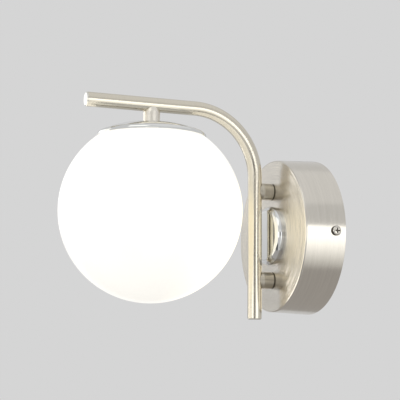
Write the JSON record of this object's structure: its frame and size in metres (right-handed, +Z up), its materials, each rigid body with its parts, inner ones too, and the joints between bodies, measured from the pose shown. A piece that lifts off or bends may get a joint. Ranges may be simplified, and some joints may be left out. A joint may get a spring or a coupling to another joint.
{
  "type": "globe wall sconce",
  "caption": "Wall light with a round canopy, a bent tube arm on posts and an opal globe hanging under a domed cap.",
  "frame": {"origin": "centre of the canopy's back, on the wall, which is also the centre of the bracket's slots", "axes": "+Y into the wall, so the lamp stands out toward -Y; +Z up; +X to the right when looking at the wall"},
  "size_m": [0.15, 0.2194, 0.1805],
  "materials": {
    "satin_nickel": "brushed satin nickel plate",
    "polished_chrome": "polished chrome plate",
    "zinc_steel": "zinc-plated steel",
    "brass": "turned brass",
    "opal_glass": "glossy white opal glass",
    "ring_aluminium": "spun aluminium",
    "silicone": "soft translucent silicone",
    "block_nylon": "moulded nylon",
    "holder_plastic": "moulded heat-proof plastic",
    "ceramic": "unglazed ceramic",
    "lead_sleeve": "smooth cable sleeve",
    "lamp_metal": "pressed nickel-plated shell",
    "lamp_plastic": "moulded white plastic",
    "lamp_opal": "opal diffuser"
  },
  "bodies": {
    "fixture": {"wall_bracket": "zinc_steel", "earth_screw": "brass", "earth_washer": "brass", "terminal_block": "block_nylon", "terminal_sleeves": "brass", "terminal_screws": "zinc_steel", "block_screws": "zinc_steel", "canopy": "satin_nickel", "side_screws": "satin_nickel", "centre_cover": "polished_chrome", "cover_washer": "zinc_steel", "cover_nut": "zinc_steel", "upper_post": "satin_nickel", "lower_post": "satin_nickel", "post_nipples": "zinc_steel", "post_washers": "zinc_steel", "post_nuts": "zinc_steel", "arm_tube": "satin_nickel", "tip_cap": "polished_chrome", "foot_cap": "polished_chrome", "neck": "satin_nickel", "neck_nipple": "zinc_steel", "globe_cap": "polished_chrome", "cap_washer": "zinc_steel", "cap_nut": "zinc_steel", "globe_gallery": "zinc_steel", "lampholder_cap": "holder_plastic", "lampholder_skirt": "holder_plastic", "lampholder_insulator": "ceramic", "lampholder_shell": "lamp_metal", "lampholder_contact": "brass", "lamp_lead": "lead_sleeve"},
    "globe": {"globe_glass": "opal_glass", "globe_ring": "ring_aluminium", "globe_gasket": "silicone"},
    "lamp": {"lamp_tip": "lamp_metal", "lamp_shell": "lamp_metal", "lamp_body": "lamp_plastic", "lamp_ball": "lamp_opal"}
  },
  "joints": [
    {"name": "globe_removal", "type": "slide", "parent": "fixture", "child": "globe", "axis": [0, 0, -1], "range_m": [0, 0.11]},
    {"name": "lamp_removal", "type": "slide", "parent": "fixture", "child": "lamp", "axis": [0, 0, -1], "range_m": [0, 0.026]}
  ]
}
